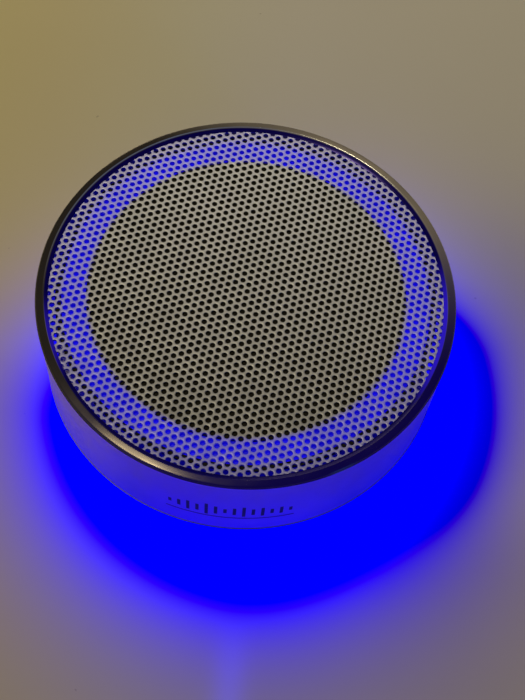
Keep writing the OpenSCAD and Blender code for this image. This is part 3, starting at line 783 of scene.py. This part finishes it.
def make_grille(material):
    """The perforated sheet: one six-sided cell per hole, its hole's edge eased, cut off by the rim."""
    pitch, hole, sides = HOLE_PITCH, HOLE_R, HOLE_SIDES
    turn = ROWS_TURN
    edge = GRILLE_R / MM - 0.03
    top, under = GRILLE_TOP / MM, GRILLE_LOW / MM
    rings = [(hole, under), (hole, top - 0.07), (hole + 0.02, top - 0.02), (hole + 0.06, top)]
    reach = int(edge / pitch / math.sin(math.pi / 3)) + 2
    centres = []
    for j in range(-reach, reach + 1):
        for i in range(-2 * reach, 2 * reach + 1):
            x, y = pitch * (i + j / 2), pitch * j * math.sin(math.pi / 3)
            if math.hypot(x, y) < edge + 0.6:
                centres.append((x * math.cos(turn) - y * math.sin(turn),
                                x * math.sin(turn) + y * math.cos(turn)))
    angles = np.array([2 * math.pi * k / sides for k in range(sides)]) + turn
    # The cell's outline, sampled at the same angles: the distance to a six-sided wall
    wall = pitch / 2 / np.cos((angles - turn + math.pi / 6) % (math.pi / 3) - math.pi / 6)
    points, faces = [], []
    for cx, cy in centres:
        start = len(points)
        for r, z in rings:
            for a in angles:
                points.append([cx + r * math.cos(a), cy + r * math.sin(a), z])
        for a, r in zip(angles, wall):
            points.append([cx + r * math.cos(a), cy + r * math.sin(a), top])
        for a, r in zip(angles, wall):
            points.append([cx + r * math.cos(a), cy + r * math.sin(a), under])
        for level in range(4):
            for k in range(sides):
                n = (k + 1) % sides
                a, b = start + level * sides, start + (level + 1) * sides
                faces.append((a + k, b + k, b + n, a + n))
        low_ring, low_wall = start, start + 5 * sides
        faces += [(low_wall + k, low_ring + k, low_ring + (k + 1) % sides, low_wall + (k + 1) % sides)
                  for k in range(sides)]
    co = np.array(points)
    r = np.hypot(co[:, 0], co[:, 1])
    over = r > edge
    co[over, :2] *= (edge / r[over])[:, None]
    co *= MM
    mesh = bpy.data.meshes.new("sheet")
    mesh.from_pydata(co.tolist(), [], faces)
    work = bmesh.new()
    work.from_mesh(mesh)
    bmesh.ops.remove_doubles(work, verts=work.verts, dist=6e-6)
    bmesh.ops.dissolve_degenerate(work, dist=4e-6, edges=work.edges)
    bmesh.ops.recalc_face_normals(work, faces=work.faces)
    work.to_mesh(mesh)
    work.free()
    obj = bpy.data.objects.new("sheet", mesh)
    bpy.context.scene.collection.objects.link(obj)
    mesh.materials.append(material)
    shade(obj, 50)
    stand_for(obj, "grille")


def make_light_rings(top_glow, base_glow, skirt):
    """The ring under the grille and the one in the base, both lit from inside."""
    top, under = high("top_light_guide").z / MM, low("top_light_guide").z / MM
    outer = high("top_light_guide").x / MM
    profile = rounded(
        [(RING_IN, top - 1), (outer - 1.6, top - 1), (outer - 1.6, under), (outer, under), (outer, top - 0.2),
         (RING_OUT, top - 0.2), (RING_OUT, top), (RING_IN, top)], 0.08, 3)
    slots = [0 if max(r for r, z in pair) < RING_OUT + 0.05 else 1
             for pair in zip(profile, profile[1:] + profile[:1])]
    obj = lathe("top_ring", profile, [top_glow, skirt], segments=192, slots=slots)
    cut(obj, window(width=39, height=12, corner=0.3, z=(under + top) / 2 - 1.6))
    shade(obj, 35)
    stand_for(obj, "top_light_guide")
    z0, z1 = low("base_light_guide").z / MM, high("base_light_guide").z / MM
    r = BODY_R / MM
    flange = WALL_LOW / MM + 0.8
    profile = rounded(
        [(r - 9.35, z0), (r - 2.9, z0), (r - 2.9, flange), (r - 1.5, flange), (r - 1.5, z1), (r - 4.6, z1),
         (r - 4.6, z0 + 1.2), (r - 9.35, z0 + 1.2)],
        [0.05, 0.5, 0.05, 0.05, 0.1, 0.1, 0.2, 0.05], 5)
    obj = lathe("base_ring", profile, [base_glow], segments=192)
    stand_for(obj, "base_light_guide")


def make_mark(material):
    """A generic etched mark on the front: a row of level bars over a fine line."""
    heights = [1.5, 2.7, 4.2, 3.0, 5.2, 3.7, 2.0, 3.4, 4.8, 2.9, 4.1, 2.2, 3.2, 1.7]
    gap, width, level = 1.75, 0.62, 15.4
    face, back = BODY_R / MM - 0.108, BODY_R / MM - 0.119
    points, faces = [], []

    def patch(s0, s1, z0, z1, steps):
        """A thin closed plate on the wall, from arc length s0 to s1 and from z0 to z1."""
        start = len(points)
        for i in range(steps + 1):
            a = (s0 + (s1 - s0) * i / steps) / (BODY_R / MM) - math.pi / 2
            for r, z in ((face, z0), (face, z1), (back, z1), (back, z0)):
                points.append((r * MM * math.cos(a), r * MM * math.sin(a), z * MM))
        for i in range(steps):
            a = start + 4 * i
            faces.extend((a + k, a + 4 + k, a + 4 + (k + 1) % 4, a + (k + 1) % 4) for k in range(4))
        end = start + 4 * steps
        faces.append((start + 3, start + 2, start + 1, start))
        faces.append((end, end + 1, end + 2, end + 3))

    middle = (len(heights) - 1) / 2
    for i, h in enumerate(heights):
        s = (i - middle) * gap
        patch(s - width / 2, s + width / 2, level - h / 2, level + h / 2, 2)
    patch(-12.2, 12.2, level - 3.5, level - 3.15, 24)
    obj = mesh_object("etched_bars", points, faces, [material], 60)
    mend(obj)
    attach(obj, "base")


def make_base(cover, rubber):
    """The bottom cover with its two fine grooves, and the ribbed rubber ring set into it."""
    z0, z1 = low("bottom_cover").z / MM, high("bottom_cover").z / MM
    r = BODY_R / MM - 3.8
    profile = rounded([(0.01, z0), (20, z0), (20.3, z0 + 0.25), (23.2, z0 + 0.25), (23.2, z0), (29.6, z0),
                       (29.6, z0 + 0.2), (30.1, z0 + 0.2), (30.1, z0), (r, z0), (r, z1), (0.01, z1)],
                      [0, 0.1, 0.1, 0.1, 0.1, 0.1, 0.1, 0.1, 0.1, 0.35, 0.1, 0], 4)
    obj = lathe("bottom_plate", profile, [cover], segments=192)
    stand_for(obj, "bottom_cover")
    ribs = []
    first, pitch = 24.15, 0.6
    for i in range(9):
        s = first + pitch * i
        ribs += [(s, 0.12), (s + 0.12, 0.0), (s + 0.40, 0.0), (s + 0.5, 0.12)]
    inner = [(23.4, z0 + 0.02), (23.4, 0.5), (23.6, 0.2)]
    outer = [(29.25, 0.2), (29.4, 0.5), (29.4, z0 + 0.02)]
    profile = inner + ribs + outer
    obj = lathe("foot_ring", profile, [rubber], segments=192, smooth=25)
    stand_for(obj, "rubber_foot")


def ribbon(path, t):
    """A path of (r, z) points as a closed strip of thickness t."""
    left, right = [], []
    for i, (x, z) in enumerate(path):
        a, b = path[max(i - 1, 0)], path[min(i + 1, len(path) - 1)]
        dx, dz = b[0] - a[0], b[1] - a[1]
        d = math.hypot(dx, dz)
        left.append((max(x - dz / d * t / 2, 0.0), z + dx / d * t / 2))
        right.append((max(x + dz / d * t / 2, 0.0), z - dx / d * t / 2))
    return left + right[::-1]


def flex_for(obj, node):
    """obj stands for a node that in the real thing bends between the base and the cone, from one height to
    the other; here its transform is baked in and the node hidden.
    """
    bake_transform(obj)
    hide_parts(node)


def make_driver(rubber, cloth, paper):
    """The driver's soft parts: the roll round the cone and the corrugated disc, which in the real thing bend
    as the cone moves, then the pulp cone with its pressed rings."""
    low_z, high_z = low("surround").z / MM, high("surround").z / MM
    foot, edge = low_z + 0.125, high("driver_basket").z / MM + 0.125
    crown = high_z - 0.125
    # The roll is half round: its middle's radius and its own half width
    middle, half = 21.35, 1.17
    roll = [(middle + half * math.cos(math.radians(a)), edge + (crown - edge) * math.sin(math.radians(a)))
            for a in range(180, -1, -12)]
    path = [(19.3, foot), (19.9, foot), (20.05, foot + 0.12), (20.12, (foot + edge) / 2)] + roll
    path += [(22.6, edge), (23.3, edge)]
    obj = lathe("roll", ribbon(path, 0.22), [rubber], segments=144)
    flex_for(obj, "surround")

    inner, outer = low("coil_former").x / -MM, 13.0
    z0, z1 = low("spider").z / MM + 0.12, high("spider").z / MM - 0.12
    steps, waves, depth = 60, 3.5, 0.2
    path = [(inner + 0.1, z0), (inner + 0.45, z0)]
    for i in range(steps + 1):
        t = i / steps
        wave = depth * math.sin(2 * math.pi * waves * t) * math.sin(math.pi * t)
        path.append((inner + 0.5 + (11.7 - inner - 0.5) * t, z0 + (z1 - z0) * t + wave))
    path += [(11.9, z1), (outer, z1)]
    obj = lathe("corrugated_disc", ribbon(path, 0.14), [cloth], segments=144, smooth=50)
    flex_for(obj, "spider")

    neck_z, rim_z = low("cone").z / MM + 0.4, high("cone").z / MM - 0.15
    steps, rings, depth = 48, 6, 0.06
    path = [(inner + 0.17, neck_z - 0.38), (inner + 0.3, neck_z)]
    for i in range(1, steps + 1):
        t = i / steps
        press = depth * math.sin(2 * math.pi * rings * t) if 0.15 < t < 0.95 else 0.0
        path.append((inner + 0.3 + (19 - inner) * t, neck_z + (rim_z - neck_z) * t ** 0.8 + press))
    path.append((20.1, rim_z))
    obj = lathe("pulp_cone", ribbon(path, 0.28), [paper], segments=144, smooth=60)
    stand_for(obj, "cone", "cone_unit")


def symbol(name, shapes, turn, material, body):
    """A thin sign printed on a button's curved face; shapes are outlines in mm."""
    points, faces = [], []
    for outline in shapes:
        start, count = len(points), len(outline)
        for r in (SIGN_FACE, SIGN_UNDER):
            for x, z in outline:
                a = math.radians(90 + turn) + x / SIGN_UNDER
                points.append((r * MM * math.cos(a), r * MM * math.sin(a), (SIGN_Z + z) * MM))
        faces.append(tuple(range(start, start + count)))
        faces.append(tuple(range(start + 2 * count - 1, start + count - 1, -1)))
        faces += [(start + k, start + (k + 1) % count, start + count + (k + 1) % count, start + count + k)
                  for k in range(count)]
    obj = mesh_object(name, points, faces, [material], 30)
    mend(obj)
    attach(obj, body)


def bar(x, w, h):
    """The outline of an upright bar, in mm."""
    return [(x - w / 2, -h / 2), (x + w / 2, -h / 2), (x + w / 2, h / 2), (x - w / 2, h / 2)]


def arrow(x, w, h):
    """The outline of an arrowhead that points towards +x, or towards -x when w is negative."""
    return [(x - w / 2, -h / 2), (x + w / 2, 0), (x - w / 2, h / 2)]


def make_controls(panel, button, knob, ink):
    """The rear panel, its three buttons with their signs, and the power switch's knob."""
    stand_for(softened("port_panel", 0.12, panel), "port_panel")
    for node, body in (("button_previous", "previous"), ("button_play", "play"), ("button_next", "next")):
        stand_for(softened(node, 0.22, button, segments=3), node, body)
    stand_for(softened("switch_knob", 0.15, knob), "switch_knob", "switch")
    play = [arrow(-0.35, 0.9, 1.1), bar(0.4, 0.2, 1.1), bar(0.78, 0.2, 1.1)]
    previous = [arrow(0.35, -0.8, 1.0), arrow(-0.4, -0.7, 1.0), bar(-0.85, 0.18, 1.0)]
    following = [arrow(-0.35, 0.8, 1.0), arrow(0.4, 0.7, 1.0), bar(0.85, 0.18, 1.0)]
    symbol("sign_play", play, 0, ink, "play")
    symbol("sign_previous", previous, -BUTTON_TURN, ink, "previous")
    symbol("sign_next", following, BUTTON_TURN, ink, "next")


# ---------------------------------------------------------------- finish of every CAD node


def finishes():
    """A material for each of the record's slots that a CAD node shows."""
    return {
        "black_cloth": woven("black speaker cloth", (0.003, 0.002, 0.002), sheen=0.0),
        "black_plastic": plastic("black plastic", (0.028, 0.028, 0.030), 0.5),
        "panel_black": plastic("panel plastic", (0.018, 0.018, 0.020), 0.42),
        "button_grey": plastic("button plastic", (0.045, 0.045, 0.050), 0.38, 4200),
        "white_board": board("white board", (0.66, 0.66, 0.64), 0.75),
        "green_board": board("green board", (0.02, 0.15, 0.06)),
        "flex_amber": board("amber film", (0.50, 0.25, 0.04), 0.7),
        "led_white": plastic("light source package", (0.80, 0.80, 0.70), 0.3, 1800, 0.000004),
        "black_rubber": soft("black rubber", (0.018, 0.018, 0.018)),
        "steel": metal("plated steel", (0.56, 0.56, 0.57), 0.28, (1, 6, 6)),
        "pressed_steel": plastic("black coated steel", (0.04, 0.04, 0.043), 0.36, 1600, 0.00002),
        "foam": soft("foam", (0.06, 0.06, 0.06), 0.95, 1500, 0.00012),
        "brass_tabs": metal("tinned brass", (0.78, 0.60, 0.28), 0.25),
        "ferrite": soft("ferrite", (0.06, 0.06, 0.065), 0.6, 1200, 0.00003, 0.0),
        "resin_cloth": woven("resin cloth", (0.50, 0.32, 0.10), 0.0005, 0.0001),
        "former_paper": soft("former film", (0.45, 0.28, 0.13), 0.5, 900, 0.00002, 0.0),
        "copper": wound("copper winding", (0.70, 0.32, 0.14)),
        "cone_paper": soft("cone pulp", (0.035, 0.035, 0.036), 0.8, 900, 0.00008, 0.3),
        "shielded_module": metal("tinned shield", (0.62, 0.62, 0.62), 0.3, (5, 1, 1)),
        "ceramic_parts": plastic("ceramic parts", (0.36, 0.27, 0.17), 0.35, 1500, 0.00001, 0.3),
        "battery_foil": metal("battery foil", (0.62, 0.65, 0.70), 0.35, (1, 1, 1), 240, 0.00006),
        "wire_red": soft("red insulation", (0.45, 0.02, 0.02), 0.45, 1500, 0.00001, 0.0),
        "wire_black": soft("black insulation", (0.015, 0.015, 0.015), 0.45, 1500, 0.00001, 0.0),
        "wire_white": soft("white insulation", (0.70, 0.70, 0.70), 0.45, 1500, 0.00001, 0.0),
    }


# ---------------------------------------------------------------- surroundings


def area(name, place, aim, size, power, colour):
    """A rectangular light at a place, turned to its aim, in metres and watts."""
    data = bpy.data.lights.new(name, "AREA")
    data.shape = "RECTANGLE"
    data.size, data.size_y = size
    data.energy = power
    data.color = colour
    obj = bpy.data.objects.new(name, data)
    bpy.context.scene.collection.objects.link(obj)
    obj.location = place
    obj.rotation_euler = (Vector(aim) - Vector(place)).to_track_quat("-Z", "Y").to_euler()


def make_room():
    """The table, one warm lamp high on the left, two faint windows and a dim surround."""
    corners = [(-2, -2, 0), (2, -2, 0), (2, 2, 0), (-2, 2, 0)]
    floor = mesh_object("floor", corners, [(0, 1, 2, 3)], [floor_paint()])
    lamp = Vector((-0.17, 0.17, 0.97)).normalized() * 1.4
    area("lamp", lamp, (0, 0, 0), (0.15, 0.15), 7.1, (1.0, 0.84, 0.46))
    area("rear_window", (-0.19, 0.68, 0.17), (0, 0, 0.02), (0.36, 0.2), 0.6, (1.0, 0.84, 0.56))
    area("cool_window", (0.45, -0.46, 0.24), (0, 0, 0.02), (0.10, 0.2), 0.25, (0.08, 0.28, 1.0))
    world = bpy.data.worlds.new("room")
    bpy.context.scene.world = world
    world.use_nodes = True
    surround = world.node_tree.nodes["Background"]
    surround.inputs["Color"].default_value = (0.50, 0.32, 1.0, 1.0)
    surround.inputs["Strength"].default_value = 0.02
    bpy.context.scene.view_settings.view_transform = "Standard"


def main():
    make_camera()
    ready = finishes()
    wall, chamfer = wall_metal(), chamfer_metal()
    make_sleeve(wall, chamfer)
    make_bezel(bezel_metal())
    make_grille(grille_metal())
    make_light_rings(lit("lit ring", 0.5), lit("lit base", 1.1), lit("lit skirt", 0.12))
    make_mark(plastic("etched metal", (0.07, 0.06, 0.09), 0.55, 2500))
    make_base(plastic("base plastic", (0.025, 0.025, 0.028), 0.45), ready["black_rubber"])
    make_controls(ready["panel_black"], ready["button_grey"], ready["black_plastic"],
                  plastic("printed sign", (0.55, 0.55, 0.56), 0.5))
    make_driver(ready["black_rubber"], ready["resin_cloth"], ready["cone_paper"])
    ready["status"] = lit("status lamp", 0.6)
    ready["retainer"] = soft("retainer felt", (0.003, 0.002, 0.003), 0.95, sheen=0.0)
    for node, obj in NODES.items():
        slot = SLOT[node]
        if node == "status_light_pipe":
            slot = "status"
        if node == "guide_retainer":
            slot = "retainer"
        if slot in ready:
            obj.data.materials.clear()
            obj.data.materials.append(ready[slot])
    make_room()


main()
